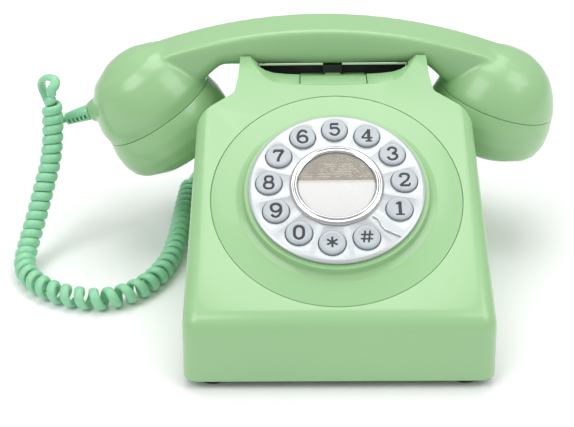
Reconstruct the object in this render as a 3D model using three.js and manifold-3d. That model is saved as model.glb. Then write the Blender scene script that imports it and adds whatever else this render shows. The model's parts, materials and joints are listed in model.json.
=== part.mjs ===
// Push-button table telephone with a twin-gong bell, a lift-off handset and a curly cord.
// Millimetres, +Z up, front of the telephone towards -Y, standing on z = 0.
import * as THREE from 'three';
import { mergeVertices } from 'three/addons/utils/BufferGeometryUtils.js';
import Module from 'manifold-3d';

const wasm = await Module();
wasm.setup();

// ---------- driving dimensions ----------
const gap = 0.3; // between pieces that touch
const runningGap = 0.45; // between pieces that slide in each other

// case
const caseHalfWidth = 69.5; // at the bottom edge
const caseDepth = 192.6;
const caseBottom = 4.5;
const caseWall = 2.6;
const sideDraft = 0.026; // sideways lean per millimetre of height
const cornerRadius = 12;
const frontLean = 2.2; // how far the front face leans back
const frontHeight = 33.1; // height of the edge between front face and slope
const slopeAngle = THREE.MathUtils.degToRad(28);
const hornTipY = 39.5; // front tips of the cradle
const rearHornY = 70;
const rearHornHeight = 101;
const rearShoulder = { y: 83, z: 76 };
const rearWallHeight = 36;
const edgeRound = 5; // between the front face and the slope
const bodyOffsetX = 6.5; // the handset lies off the middle of the case by this much

// cradle
const saddleLow = 95.2; // lowest point of the front cradle edge
const saddleRadius = 120;
const channelHalfWidth = 38;
const channelFrontY = 37;
const channelFloor = 85;
const seatHeight = 97.2; // ledges that carry the grip
const neckHalfWidth = 46.8;
const neckOutline = [ // half width, y
  [72, 4.3], [49.2, 19.5], [47.6, 28.5], [neckHalfWidth, 39.5], [neckHalfWidth, 70], [52, 88], [52, 140],
];
const cheekTop = { x: 47, z: 66 }; // the cheeks under the cups slope from here
const cheekFoot = { x: 62, z: 46 };

// dial
const dialSlopeDistance = 67.2; // from the front edge, up the slope
const surroundRadius = 58.4;
const surroundSeat = 1.2; // depth of its recess in the case
const collarRadius = 42.4;
const collarHeight = 5.5;
const plateRadius = 40.6;
const plateTop = 7.8;
const plateThickness = 2;
const buttonCount = 12;
const buttonRingRadius = 31.1;
const buttonStep = THREE.MathUtils.degToRad(29.08);
const middleButtonAngle = THREE.MathUtils.degToRad(90.8); // of the fifth button
const buttonRadius = 6;
const buttonProud = 1.3;
const buttonTravel = 1.3;
const buttonFlange = 0.9; // how far the hidden flange stands out
const ringOuterRadius = 21.7;
const lensRadius = 17.6;
const ringProud = 1.7;
const fingerStopRadius = 0.5;

const ringInnerRadius = lensRadius + gap;
const skirtRadius = 46;
const skirtDepth = 6;
const stackRadius = 38.8; // mat, board and tray inside the skirt
const matTop = 3;
const matThickness = 1;
const boardThickness = 1.6;

// base plate, feet and screws
const basePlateZ = 5.2;
const basePlateThickness = 2;
const footRadius = 7;
const footInset = { x: 13, front: 10.6, rear: 14 };
const screwInset = { x: 15.5, front: 26, rear: 30 };
const screwRadius = 1.8;
const screwBite = 8;
const bossRadius = 4;

// bell
const gongRadius = 24;
const gongHeight = 11;
const gongZ = 17;
const gongY = 52;
const gongGap = 10; // between the two rims
const clapperPivotY = 24;
const clapperBallRadius = 3;

const ringerFrameZ = 7.5;
const ringerFrameThickness = 1.5;
const frameMargin = { x: 8, front: 26, rear: 10 };
const pinRadius = 1.5;

// main board
const mainBoardZ = 14;
const mainBoardY = -37;
const mainBoardHalf = { x: 45, y: 25 };
const pillarRadius = 3;
const pillarInset = 5;
const boardPillars = [-1, 1].flatMap((side) => [-1, 1].map((end) => [
  side * (mainBoardHalf.x - pillarInset), mainBoardY + end * (mainBoardHalf.y - pillarInset),
]));

// hook
const barWidth = 33;
const barFrontY = 25;
const barRearY = 50;
const barBottom = 92;
const barTravel = 4;
const stemWidth = 8;
const stemDepth = 5;
const stemY = 43;
const stemBottom = 77;
const switchHalf = { x: 10, y: 6 };
const switchHeight = 14;
const bracketY = 80;
const bracketThickness = 2;
const bracketWidth = 24;

// rear wall
const socketDepth = 15;
const handsetSocket = { x: -45, width: 12, low: 7.8, high: 18.8, mouth: 7.4 };
const lineSocket = { x: 30, width: 13, low: 7.8, high: 19.8, mouth: 8 };
const sockets = [handsetSocket, lineSocket];
const ringerSwitch = { half: 9, rise: 4, depth: 7 };
const knob = { width: 5, height: 3.4, z: 26, travel: 3, proud: 1.2 };

// handset
const gripTop = 118;
const gripUnderside = 97.5;
const gripDepth = 25;
const gripY = 54.5;
const gripHalfLength = 98;
const weightHalf = { x: 30, y: 6 };
const weightBottom = 102;
const weightTop = 109;
const gripArch = 0.00195; // drop per square millimetre from the middle
const cupRadius = 31.5;
const mouthCup = { x: -86, z: 70.2, tilt: THREE.MathUtils.degToRad(31), rise: 35.4 };
const earCup = { x: 93, z: 75.3, tilt: THREE.MathUtils.degToRad(16.8), rise: 27 };
const housingOutline = [ // how far inside the cup radius, share of the rise
  [0, 0], [0.5, 0.16], [2.1, 0.33], [4.4, 0.49], [7.5, 0.66], [12.3, 0.79], [20.9, 0.92],
];
const capDepth = 27;
const cupWall = 2.4;
const wireBore = 3;

// cord
const strandDiameter = 3.4;
const coilDiameter = 11.6;
const reliefLength = 13.6;
const bossTip = new THREE.Vector3(-122.9, gripY, 68);
const reliefDirection = new THREE.Vector3(-0.954, 0, -0.3).normalize();
const coilRoute = [
  [-140.1, 46.1, 81.5], [-140.5, 44, 70.3], [-141.1, 40.7, 59.9], [-142.8, 35.4, 47.7], [-146.2, 28.5, 36.1],
  [-149.6, 21, 24.5], [-152.8, 12.5, 14.5], [-154.3, 4, 8], [-152.5, -5, 6.2], [-146.5, -14.5, 6.1],
  [-137, -23.5, 6.1], [-124, -29.8, 6.1], [-109.6, -32.5, 6.1], [-96.5, -27.5, 6.1], [-85.5, -14.5, 6.1],
  [-79.2, 4, 6.1], [-77, 25, 6.1], [-76.6, 48, 6.1], [-76.2, 72, 6.1], [-75.4, 92, 6.1],
];
const topTailRoute = [
  [-136.8, 54.5, 63.6], [-139.6, 55.9, 62.4], [-142.9, 59, 63.2], [-145.6, 62.2, 67.5], [-147.6, 62.6, 74],
  [-148.4, 60.6, 80], [-146.9, 57, 85.4], [-142.8, 53.3, 88.5], [-138.5, 50.2, 88.5], [-138.1, 47.7, 86.5],
  [-139.7, 46.4, 84.7], [-140.1, 46.1, 81.8],
];
const baseTailRoute = [
  [-75.4, 92.3, 6.1], [-74.9, 100.5, 5.2], [-72.4, 110.5, 3.2], [-65.5, 118.5, 2.2], [-56.5, 121.8, 3.2],
  [-47.5, 120.3, 7.2], [-41.2, 116, 11.3], [-38.7, 111.5, 13.1], [-38.5, 106.6, 13.3],
];

const halfDepth = caseDepth / 2;
const aboveAll = 140; // a height over everything
const beyond = 140; // a distance past every side
const openBottom = 10;
const slopeDirection = new THREE.Vector3(0, Math.cos(slopeAngle), Math.sin(slopeAngle));
const frontEdge = new THREE.Vector3(0, -halfDepth + frontLean, frontHeight);

// ---------- finishes ----------
const finish = (color, roughness, metalness = 0) =>
  new THREE.MeshStandardMaterial({ color, roughness, metalness });
const finishes = {
  casing: finish('#a9d59b', 0.35),
  cordGreen: finish('#86c79f', 0.45),
  chrome: finish('#c9ccd0', 0.15, 1),
  plate: finish('#e4e7ea', 0.3, 0.4),
  button: finish('#b3bac0', 0.35),
  card: finish('#d8c9ae', 0.8),
  clear: finish('#f4f6f6', 0.05),
  rubber: finish('#1c1c1c', 0.9),
  steel: finish('#9b9fa3', 0.35, 1),
  brass: finish('#b9975a', 0.3, 1),
  copper: finish('#a65f35', 0.45, 0.8),
  board: finish('#2f6b46', 0.6),
  dark: finish('#2a2c2d', 0.6),
};

// ---------- geometry helpers ----------
const telephone = new THREE.Group();
const caseFrame = new THREE.Group();
const dialFrame = new THREE.Group();
caseFrame.position.x = bodyOffsetX;
dialFrame.position.copy(frontEdge).addScaledVector(slopeDirection, dialSlopeDistance);
dialFrame.rotation.x = slopeAngle;
caseFrame.add(dialFrame);
telephone.add(caseFrame);

function addPiece(parent, name, geometry, material) {
  const mesh = new THREE.Mesh(geometry, material);
  mesh.name = name;
  parent.add(mesh);
  return mesh;
}

function solid(geometry) {
  const bare = geometry.index ? geometry.toNonIndexed() : geometry.clone();
  for (const name of Object.keys(bare.attributes)) {
    if (name !== 'position') bare.deleteAttribute(name);
  }
  const merged = mergeVertices(bare, 1e-4);
  return new wasm.Manifold(new wasm.Mesh({
    numProp: 3,
    vertProperties: new Float32Array(merged.attributes.position.array),
    triVerts: new Uint32Array(merged.index.array),
  }));
}

function geometryOf(body) {
  const mesh = body.getMesh();
  const geometry = new THREE.BufferGeometry();
  geometry.setAttribute('position', new THREE.BufferAttribute(mesh.vertProperties, 3));
  geometry.setIndex(new THREE.BufferAttribute(mesh.triVerts, 1));
  return geometry;
}

const joined = (first, ...others) => others.reduce((body, other) => body.add(other), first);
const cutBy = (first, ...others) => others.reduce((body, other) => body.subtract(other), first);

// a closed outline of [a, b] points, thick along the third axis
function prism(points, thickness) {
  const outline = new THREE.Shape(points.map(([a, b]) => new THREE.Vector2(a, b)));
  return new THREE.ExtrudeGeometry(outline, { depth: thickness, bevelEnabled: false, curveSegments: 8 });
}

// an outline in the YZ plane, thick along X about x = 0
function sidePrism(points, thickness) {
  const turn = new THREE.Matrix4().set(0, 0, 1, -thickness / 2, 1, 0, 0, 0, 0, 1, 0, 0, 0, 0, 0, 1);
  return prism(points, thickness).applyMatrix4(turn);
}

// an outline in the XZ plane, thick along Y from yLow to yHigh
function frontPrism(points, yLow, yHigh) {
  return prism(points, yHigh - yLow).rotateX(Math.PI / 2).translate(0, yHigh, 0);
}

function roundedRectangle(width, depth, radius) {
  const x = width / 2 - radius;
  const y = depth / 2 - radius;
  const outline = new THREE.Shape();
  outline.absarc(x, y, radius, 0, Math.PI / 2);
  outline.absarc(-x, y, radius, Math.PI / 2, Math.PI);
  outline.absarc(-x, -y, radius, Math.PI, 1.5 * Math.PI);
  outline.absarc(x, -y, radius, 1.5 * Math.PI, 2 * Math.PI);
  return outline;
}

function roundedSlab(width, depth, radius, zLow, zHigh) {
  const options = { depth: zHigh - zLow, bevelEnabled: false, curveSegments: 3 };
  return new THREE.ExtrudeGeometry(roundedRectangle(width, depth, radius), options).translate(0, 0, zLow);
}

function box(xLow, xHigh, yLow, yHigh, zLow, zHigh) {
  const geometry = new THREE.BoxGeometry(xHigh - xLow, yHigh - yLow, zHigh - zLow);
  return geometry.translate((xLow + xHigh) / 2, (yLow + yHigh) / 2, (zLow + zHigh) / 2);
}

// a profile of [radius, height] points turned about the Z axis
function turned(profile, segments = 32) {
  const points = profile.map(([radius, height]) => new THREE.Vector2(radius, height));
  return new THREE.LatheGeometry(points, segments).rotateX(Math.PI / 2);
}

const disc = (radius, zLow, zHigh, segments) =>
  turned([[0, zLow], [radius, zLow], [radius, zHigh], [0, zHigh]], segments);

function tube(points, radius, sides, steps) {
  const section = new THREE.Shape();
  section.absarc(0, 0, radius, 0, 2 * Math.PI);
  const path = new THREE.CatmullRomCurve3(points.map((point) => new THREE.Vector3(...point)));
  return new THREE.ExtrudeGeometry(section, { steps, curveSegments: sides / 2, extrudePath: path });
}


dialFrame.updateMatrix();
const inDialPlace = (geometry) => solid(geometry).transform(dialFrame.matrix.elements);

// ---------- case ----------
function caseEnvelope(inset) {
  const low = inset > 0 ? caseBottom - openBottom : caseBottom;
  const plan = roundedSlab(2 * (caseHalfWidth - inset), caseDepth - 2 * inset, cornerRadius - inset,
    low, aboveAll);
  const position = plan.attributes.position;
  for (let i = 0; i < position.count; i += 1) {
    const lean = (sideDraft * (position.getZ(i) - caseBottom)) / caseHalfWidth;
    position.setX(i, position.getX(i) * (1 - lean));
  }
  const drop = inset / Math.cos(slopeAngle);
  const front = -halfDepth + inset;
  const rise = Math.tan(slopeAngle);
  const edge = frontHeight - drop;
  const profile = [
    ...(inset > 0 ? [[front, low]] : []),
    [front, caseBottom],
    [front + frontLean, edge - edgeRound],
    [front + frontLean + 0.3 * edgeRound, edge - 0.2 * edgeRound],
    [front + frontLean + edgeRound, edge + edgeRound * rise],
    [hornTipY, edge + (hornTipY - frontEdge.y) * rise],
    [rearHornY - inset, rearHornHeight - drop],
    [rearShoulder.y - inset, rearShoulder.z - inset],
    [halfDepth - inset, rearWallHeight],
    [halfDepth - inset, low],
  ];
  return solid(plan).intersect(solid(sidePrism(profile, 4 * caseHalfWidth)));
}

// what is cut from above to leave the neck and the cradle, grown by a wall on the inside
function cradleCuts(grow) {
  const shoulderY = neckOutline[0][1];
  const plan = prism([
    ...neckOutline.map(([x, y]) => [x - grow, y]), [beyond, beyond], [beyond, shoulderY],
  ], aboveAll);
  const cheekRun = (cheekFoot.x - cheekTop.x) / (cheekTop.z - cheekFoot.z);
  const cheek = frontPrism([
    [cheekFoot.x - grow, cheekFoot.z - grow],
    [beyond, cheekFoot.z - grow],
    [beyond, aboveAll],
    [cheekFoot.x - grow - cheekRun * (aboveAll - cheekFoot.z + grow), aboveAll],
  ], -halfDepth, beyond);
  const neck = solid(plan).intersect(solid(cheek));
  const saddle = new THREE.CylinderGeometry(saddleRadius + grow, saddleRadius + grow, 2 * beyond, 96);
  const channel = box(-channelHalfWidth - grow, channelHalfWidth + grow,
    channelFrontY - grow, beyond, channelFloor - grow, aboveAll);
  const seats = box(-beyond, beyond, hornTipY + 1 - grow, rearHornY - 1 + grow,
    seatHeight - grow, aboveAll);
  return [neck, neck.mirror([1, 0, 0]), solid(saddle.translate(0, 0, saddleLow + saddleRadius)),
    solid(channel), solid(seats)];
}

const screwPlaces = [-1, 1].flatMap((side) => [
  [side * (caseHalfWidth - screwInset.x), -halfDepth + screwInset.front],
  [side * (caseHalfWidth - screwInset.x), halfDepth - screwInset.rear],
]);

function upperCase() {
  const outer = cutBy(caseEnvelope(0), ...cradleCuts(0));
  const inner = cutBy(caseEnvelope(caseWall), ...cradleCuts(caseWall));
  const bossFoot = basePlateZ + basePlateThickness + gap;
  const bosses = screwPlaces.map(([x, y]) =>
    solid(disc(bossRadius, bossFoot, aboveAll, 12).translate(x, y, 0)).intersect(outer));
  const pilots = screwPlaces.map(([x, y]) =>
    solid(disc(screwRadius + gap, bossFoot - 1, bossFoot + screwBite + 1, 10).translate(x, y, 0)));
  const shell = joined(outer.subtract(inner), ...bosses);
  const seat = inDialPlace(disc(surroundRadius + runningGap, -surroundSeat, collarHeight * 3, 72));
  const aperture = inDialPlace(disc(skirtRadius + runningGap, -6 * caseWall, collarHeight, 48));
  const barSlot = solid(box(-barWidth / 2 - runningGap, barWidth / 2 + runningGap,
    barFrontY - runningGap, channelFrontY, barBottom - runningGap - barTravel, aboveAll));
  const stemReach = { x: stemWidth / 2 + runningGap, y: stemDepth / 2 + runningGap };
  const stemSlot = solid(box(-stemReach.x, stemReach.x, stemY - stemReach.y, stemY + stemReach.y,
    channelFloor - 2 * caseWall, aboveAll));
  const throughRear = [halfDepth - 2 * caseWall, halfDepth + 1];
  const rearHoles = sockets.map(({ x, width, low, high }) =>
    solid(box(x - width / 2 - gap, x + width / 2 + gap, ...throughRear, low - gap, high + gap)));
  const slotReach = knob.width / 2 + knob.travel + runningGap;
  const slotRise = knob.height / 2 + runningGap;
  const switchSlot = solid(box(-slotReach, slotReach, ...throughRear, knob.z - slotRise, knob.z + slotRise));
  return cutBy(shell, seat, aperture, barSlot, stemSlot, switchSlot, ...pilots, ...rearHoles);
}

function basePlate() {
  const width = 2 * (caseHalfWidth - caseWall - runningGap);
  const slab = solid(roundedSlab(width, caseDepth - 2 * (caseWall + runningGap), cornerRadius - caseWall,
    basePlateZ, basePlateZ + basePlateThickness));
  const pillars = boardPillars.map(([x, y]) =>
    solid(disc(pillarRadius, basePlateZ + 1, mainBoardZ - gap, 10).translate(x, y, 0)));
  const holes = screwPlaces.map(([x, y]) =>
    solid(disc(screwRadius + runningGap, 0, aboveAll, 12).translate(x, y, 0)));
  return cutBy(joined(slab, ...pillars), ...holes);
}

const foot = () => turned([
  [0, 0], [footRadius - 1.8, 0], [footRadius - 0.4, 1.5], [footRadius, 3], [footRadius, basePlateZ - gap],
  [0, basePlateZ - gap],
], 20);

function caseScrew() {
  const head = basePlateZ - gap;
  const tip = basePlateZ + basePlateThickness + gap + screwBite - 1;
  return turned([[0, head - 2.3], [2.6, head - 2.3], [3.1, head - 1], [3.1, head], [screwRadius, head],
    [screwRadius, tip - 1.5], [0, tip]], 12);
}

addPiece(caseFrame, 'upper_case', geometryOf(upperCase()), finishes.casing);
addPiece(caseFrame, 'base_plate', geometryOf(basePlate()), finishes.dark);
for (const [end, y] of [['front', -halfDepth + footInset.front], ['rear', halfDepth - footInset.rear]]) {
  for (const [side, x] of [['left', footInset.x - caseHalfWidth], ['right', caseHalfWidth - footInset.x]]) {
    addPiece(caseFrame, `foot_${end}_${side}`, foot(), finishes.rubber).position.set(x, y, 0);
  }
}
screwPlaces.forEach(([x, y], index) => {
  addPiece(caseFrame, `case_screw_${index + 1}`, caseScrew(), finishes.steel).position.set(x, y, 0);
});

// ---------- dial: heights are measured from the slope, along its normal ----------
const buttonNames = ['1', '2', '3', '4', '5', '6', '7', '8', '9', '0', 'star', 'hash'];
const buttonPlaces = buttonNames.map((name, index) => {
  const angle = middleButtonAngle + (index - 4) * buttonStep;
  return { name, x: buttonRingRadius * Math.cos(angle), y: buttonRingRadius * Math.sin(angle) };
});
const plateBottom = plateTop - plateThickness;

const dialSurround = () => turned([
  [surroundRadius, gap - surroundSeat], [surroundRadius, 0.2], [collarRadius + 1.6, 0.9], [collarRadius, 1.6],
  [collarRadius, collarHeight], [stackRadius + gap, collarHeight], [stackRadius + gap, -skirtDepth],
  [skirtRadius, -skirtDepth], [skirtRadius, gap - surroundSeat], [surroundRadius, gap - surroundSeat],
], 48);

function dialPlate() {
  const plate = solid(turned([[0, plateBottom], [plateRadius, plateBottom], [plateRadius, plateTop - 0.5],
    [plateRadius - 0.5, plateTop], [0, plateTop]], 64));
  const holes = buttonPlaces.map(({ x, y }) =>
    solid(disc(buttonRadius + runningGap, 0, 2 * plateTop, 20).translate(x, y, 0)));
  return cutBy(plate, ...holes);
}

function button() {
  const top = plateTop + buttonProud;
  const flangeTop = plateBottom - gap;
  const flangeBottom = matTop + gap + buttonTravel;
  const wide = buttonRadius + buttonFlange;
  return turned([[0, flangeBottom], [wide, flangeBottom], [wide, flangeTop], [buttonRadius, flangeTop],
    [buttonRadius, top - 0.7], [buttonRadius - 0.7, top], [0, top - 0.4]], 16);
}

const matBottom = matTop - matThickness;
const keypadBoardTop = matBottom - gap;
const trayTop = keypadBoardTop - boardThickness - gap;
const cardTop = plateTop + gap + 0.4;

function fingerStop() {
  const z = plateTop + gap + fingerStopRadius;
  const plan = [[15.9, -16.6], [17.2, -19.6], [17.6, -23], [19.6, -26.4], [22.6, -28.6], [24.4, -30.4]];
  return tube(plan.map(([x, y]) => [x, y, z]), fingerStopRadius, 8, 14);
}

addPiece(dialFrame, 'dial_surround', dialSurround(), finishes.casing);
addPiece(dialFrame, 'dial_plate', geometryOf(dialPlate()), finishes.plate);
addPiece(dialFrame, 'finger_stop', fingerStop(), finishes.chrome);
const centreRing = turned([
  [ringInnerRadius, plateTop + gap], [ringOuterRadius, plateTop + gap],
  [ringOuterRadius - 0.6, plateTop + ringProud], [ringOuterRadius - 2, plateTop + ringProud + 0.4],
  [ringInnerRadius, plateTop + ringProud], [ringInnerRadius, plateTop + gap],
], 48);
addPiece(dialFrame, 'centre_ring', centreRing, finishes.chrome);
addPiece(dialFrame, 'number_card', disc(lensRadius, plateTop + gap, cardTop, 40), finishes.card);
const lens = turned([
  [0, cardTop + gap], [lensRadius, cardTop + gap], [lensRadius, cardTop + 0.7], [0, cardTop + 1.2],
], 40);
addPiece(dialFrame, 'lens', lens, finishes.clear);
addPiece(dialFrame, 'keypad_mat', disc(stackRadius, matBottom, matTop, 40), finishes.rubber);
addPiece(dialFrame, 'keypad_board', disc(stackRadius, trayTop + gap, keypadBoardTop, 40), finishes.board);
const trayWall = 1.5;
const keypadTray = turned([
  [0, -skirtDepth], [stackRadius, -skirtDepth], [stackRadius, trayTop], [stackRadius - trayWall, trayTop],
  [stackRadius - trayWall, trayWall - skirtDepth], [0, trayWall - skirtDepth],
], 40);
addPiece(dialFrame, 'keypad_tray', keypadTray, finishes.dark);
for (const { name, x, y } of buttonPlaces) {
  addPiece(dialFrame, `button_${name}`, button(), finishes.button).position.set(x, y, 0);
}

// ---------- bell ----------
const gongX = gongRadius + gongGap / 2;
const frameTop = ringerFrameZ + ringerFrameThickness;

function ringerFrame() {
  const slab = solid(box(-gongX - frameMargin.x, gongX + frameMargin.x, clapperPivotY - frameMargin.front,
    gongY + frameMargin.rear, ringerFrameZ, frameTop));
  const posts = [-gongX, gongX].map((x) =>
    solid(disc(3, frameTop - 1, gongZ + gongHeight - 1.8, 12).translate(x, gongY, 0)));
  const pin = solid(disc(pinRadius, frameTop - 1, gongZ + 7, 12).translate(0, clapperPivotY, 0));
  return joined(slab, ...posts, pin);
}

const gong = () => turned([
  [3.5, gongHeight], [3.5, gongHeight - 1.4], [13.5, gongHeight - 2], [20.2, 5.6], [gongRadius - 1.3, 0],
  [gongRadius, 0], [21.3, 6.8], [14, gongHeight - 0.6], [3.5, gongHeight],
], 24);

const gongScrew = () => turned([[0, gongHeight - 1.5], [3, gongHeight - 1.5], [3, gongHeight + gap],
  [5.4, gongHeight + gap], [5, gongHeight + 1.8], [0, gongHeight + 2.2]], 14);

function clapper() {
  const low = gongZ + 3;
  const arm = solid(box(-1.2, 1.2, clapperPivotY, gongY, low, low + 2));
  const hub = solid(disc(4, low - 0.5, low + 2.5, 16).translate(0, clapperPivotY, 0));
  const ball = solid(new THREE.SphereGeometry(clapperBallRadius, 14, 8).translate(0, gongY, low + 1));
  const bore = solid(disc(pinRadius + runningGap, 0, aboveAll, 12).translate(0, clapperPivotY, 0));
  return cutBy(joined(arm, hub, ball), bore);
}

function ringerCoil() {
  const half = [[7, 11.5], [7, 13], [3, 13], [3, 15], [0, 15]];
  const mirrored = half.map(([radius, z]) => [radius, -z]).reverse();
  const profile = [...mirrored, [6, -11.5], [6, 11.5], ...half];
  return turned(profile, 20).rotateY(Math.PI / 2).translate(0, clapperPivotY - 16, frameTop + gap + 7);
}

addPiece(caseFrame, 'ringer_frame', geometryOf(ringerFrame()), finishes.steel);
addPiece(caseFrame, 'ringer_coil', ringerCoil(), finishes.copper);
addPiece(caseFrame, 'clapper', geometryOf(clapper()), finishes.brass);
for (const [side, x] of [['left', -gongX], ['right', gongX]]) {
  addPiece(caseFrame, `gong_${side}`, gong(), finishes.brass).position.set(x, gongY, gongZ);
  addPiece(caseFrame, `gong_screw_${side}`, gongScrew(), finishes.steel).position.set(x, gongY, gongZ);
}

// ---------- main board, hook and rear wall ----------
const switchTop = stemBottom - gap;
const switchBottom = switchTop - switchHeight;

function hookBar() {
  const top = seatHeight;
  const tread = solid(sidePrism([
    [barFrontY, barBottom], [barRearY, barBottom], [barRearY, top - 0.8], [barRearY - 1.5, top],
    [stemY, top], [barFrontY + 1, saddleLow - 0.2], [barFrontY, saddleLow - 1],
  ], barWidth));
  const stem = solid(box(-stemWidth / 2, stemWidth / 2, stemY - stemDepth / 2, stemY + stemDepth / 2,
    stemBottom, barBottom + 1));
  return tread.add(stem);
}

function socketBody({ x, width, low, high, mouth }) {
  const outer = solid(box(x - width / 2, x + width / 2, halfDepth - socketDepth, halfDepth, low, high));
  const middle = (low + high) / 2;
  return outer.subtract(solid(box(x - mouth / 2, x + mouth / 2, halfDepth - socketDepth + 4, halfDepth + 1,
    middle - mouth / 2 + 0.5, middle + mouth / 2 - 0.5)));
}

const mainBoard = box(-mainBoardHalf.x, mainBoardHalf.x, mainBoardY - mainBoardHalf.y,
  mainBoardY + mainBoardHalf.y, mainBoardZ, mainBoardZ + boardThickness);
addPiece(caseFrame, 'main_board', mainBoard, finishes.board);
addPiece(caseFrame, 'hook_bar', geometryOf(hookBar()), finishes.casing);
const hookSwitch = box(-switchHalf.x, switchHalf.x, stemY - switchHalf.y, stemY + switchHalf.y,
  switchBottom, switchTop);
addPiece(caseFrame, 'hook_switch', hookSwitch, finishes.dark);
const bracketFoot = basePlateZ + basePlateThickness + gap;
const bracketTop = switchBottom - gap;
const hookBracket = sidePrism([
  [bracketY - bracketThickness, bracketFoot], [bracketY, bracketFoot], [bracketY, bracketTop],
  [stemY - switchHalf.y, bracketTop], [stemY - switchHalf.y, bracketTop - bracketThickness],
  [bracketY - bracketThickness, bracketTop - bracketThickness],
], bracketWidth);
addPiece(caseFrame, 'hook_bracket', hookBracket, finishes.steel);
addPiece(caseFrame, 'handset_socket', geometryOf(socketBody(handsetSocket)), finishes.dark);
addPiece(caseFrame, 'line_socket', geometryOf(socketBody(lineSocket)), finishes.dark);
const wallInside = halfDepth - caseWall;
const switchBody = box(-ringerSwitch.half, ringerSwitch.half, wallInside - ringerSwitch.depth,
  wallInside - gap, knob.z - ringerSwitch.rise, knob.z + ringerSwitch.rise);
addPiece(caseFrame, 'ringer_switch', switchBody, finishes.dark);
const knobBody = box(-knob.width / 2, knob.width / 2, wallInside, halfDepth + knob.proud,
  knob.z - knob.height / 2, knob.z + knob.height / 2);
addPiece(caseFrame, 'ringer_switch_knob', knobBody, finishes.dark);

// ---------- handset ----------
// a cup's own frame: origin in its seam, +Z out of the back of the housing
function cupMatrix(cup) {
  const turn = new THREE.Matrix4().makeRotationY(Math.sign(cup.x) * cup.tilt);
  return new THREE.Matrix4().makeTranslation(cup.x, gripY, cup.z).multiply(turn);
}

const atCup = (cup, geometry) => solid(geometry).transform(cupMatrix(cup).elements);

function archPoints(halfLength, z, steps) {
  return Array.from({ length: steps + 1 }, (unused, index) => {
    const x = halfLength - (2 * halfLength * index) / steps;
    return [x, z - gripArch * x * x];
  });
}

// the rounded back of a cup, or the hollow a wall inside it
function housingProfile(rise, inset, low) {
  const side = housingOutline.map(([drawnIn, share]) => [cupRadius - inset - drawnIn, share * rise]);
  return [[0, low], [cupRadius - inset, low], ...(low < 0 ? side : side.slice(1)), [0, rise]];
}

const housing = (cup) => atCup(cup, turned(housingProfile(cup.rise, 0, 0), 36));
const housingCavity = (cup) => atCup(cup, turned(housingProfile(cup.rise - 1.4 * cupWall, cupWall, -1), 28));

const reliefTurn = new THREE.Quaternion().setFromUnitVectors(new THREE.Vector3(0, 0, 1), reliefDirection);
const reliefMatrix = new THREE.Matrix4().compose(bossTip, reliefTurn, new THREE.Vector3(1, 1, 1));
const alongRelief = (geometry) => solid(geometry).transform(reliefMatrix.elements);

function handsetBody() {
  const lowerEdge = [
    [-gripHalfLength, 84], [-61.5, 87.5], [-57, 92], [-50.5, gripUnderside],
    [53, gripUnderside], [59.5, 92], [64, 87], [gripHalfLength, 84],
  ];
  const arch = frontPrism([...lowerEdge, ...archPoints(gripHalfLength, gripTop, 14)],
    gripY - gripDepth / 2, gripY + gripDepth / 2);
  const hollowEnd = gripHalfLength - 2;
  const channel = frontPrism([
    [-hollowEnd, 87], [-70, weightBottom - 1], [70, weightBottom - 1], [hollowEnd, 87],
    ...archPoints(hollowEnd, gripTop - 4.5, 8),
  ], gripY - weightHalf.y - 1, gripY + weightHalf.y + 1);
  const boss = alongRelief(turned([[0, -22], [13, -22], [9, -9], [4.8, 0], [0, 0]], 20));
  const bore = alongRelief(disc(wireBore, -34, 1, 10));
  const outside = joined(solid(arch), housing(mouthCup), housing(earCup), boss);
  return cutBy(outside, housingCavity(mouthCup), housingCavity(earCup), solid(channel), bore);
}

function soundCap(cup) {
  const shell = solid(turned([
    [0, 2.5 - capDepth], [8, 2.2 - capDepth], [19, -capDepth], [21.5, 0.5 - capDepth],
    [23, 2.6 - capDepth], [26.5, 3 - capDepth], [cupRadius - 1.2, 7 - capDepth],
    [cupRadius + 1.2, 12 - capDepth], [cupRadius + 1.2, -8], [cupRadius, -gap], [cupRadius - 2.6, -gap],
    [cupRadius - 1.6, -8], [cupRadius - 1.6, 12.6 - capDepth], [cupRadius - 3.6, 8.6 - capDepth],
    [25.4, 5.6 - capDepth], [21.2, 5.2 - capDepth], [19, 2.8 - capDepth], [8, 4.8 - capDepth],
    [0, 5 - capDepth],
  ], 28));
  const holes = Array.from({ length: 7 }, (unused, index) => {
    const ring = index === 0 ? 0 : 9;
    const angle = (index * Math.PI) / 3;
    return solid(disc(1.5, -2 * capDepth, 0, 8).translate(ring * Math.cos(angle), ring * Math.sin(angle), 0));
  });
  return cutBy(shell, ...holes).transform(cupMatrix(cup).elements);
}

const capsule = (cup) => atCup(cup, turned([
  [0, 6.6 - capDepth], [18, 6.6 - capDepth], [cupRadius - 7, 9.4 - capDepth], [cupRadius - 7, 2], [0, 2],
], 24));

addPiece(telephone, 'handset_body', geometryOf(handsetBody()), finishes.casing);
const cups = [['ear_cap', 'receiver_capsule', earCup], ['mouth_cap', 'microphone_capsule', mouthCup]];
for (const [name, inside, cup] of cups) {
  addPiece(telephone, name, geometryOf(soundCap(cup)), finishes.casing);
  addPiece(telephone, inside, geometryOf(capsule(cup)), finishes.dark);
}
const handsetWeight = box(-weightHalf.x, weightHalf.x, gripY - weightHalf.y, gripY + weightHalf.y,
  weightBottom, weightTop);
addPiece(telephone, 'handset_weight', handsetWeight, finishes.steel);

// ---------- cord ----------
const plugY = halfDepth + 9;
const plugX = bodyOffsetX + handsetSocket.x;
const plugZ = (handsetSocket.low + handsetSocket.high) / 2;

function cordPlug() {
  const blade = solid(box(-3.2, 3.2, halfDepth - 8, plugY - 3, -2.8, 2.8));
  const boot = solid(disc(3, plugY - 4, plugY, 12).rotateX(-Math.PI / 2));
  return joined(blade, boot).translate([plugX, 0, plugZ]);
}

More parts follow.
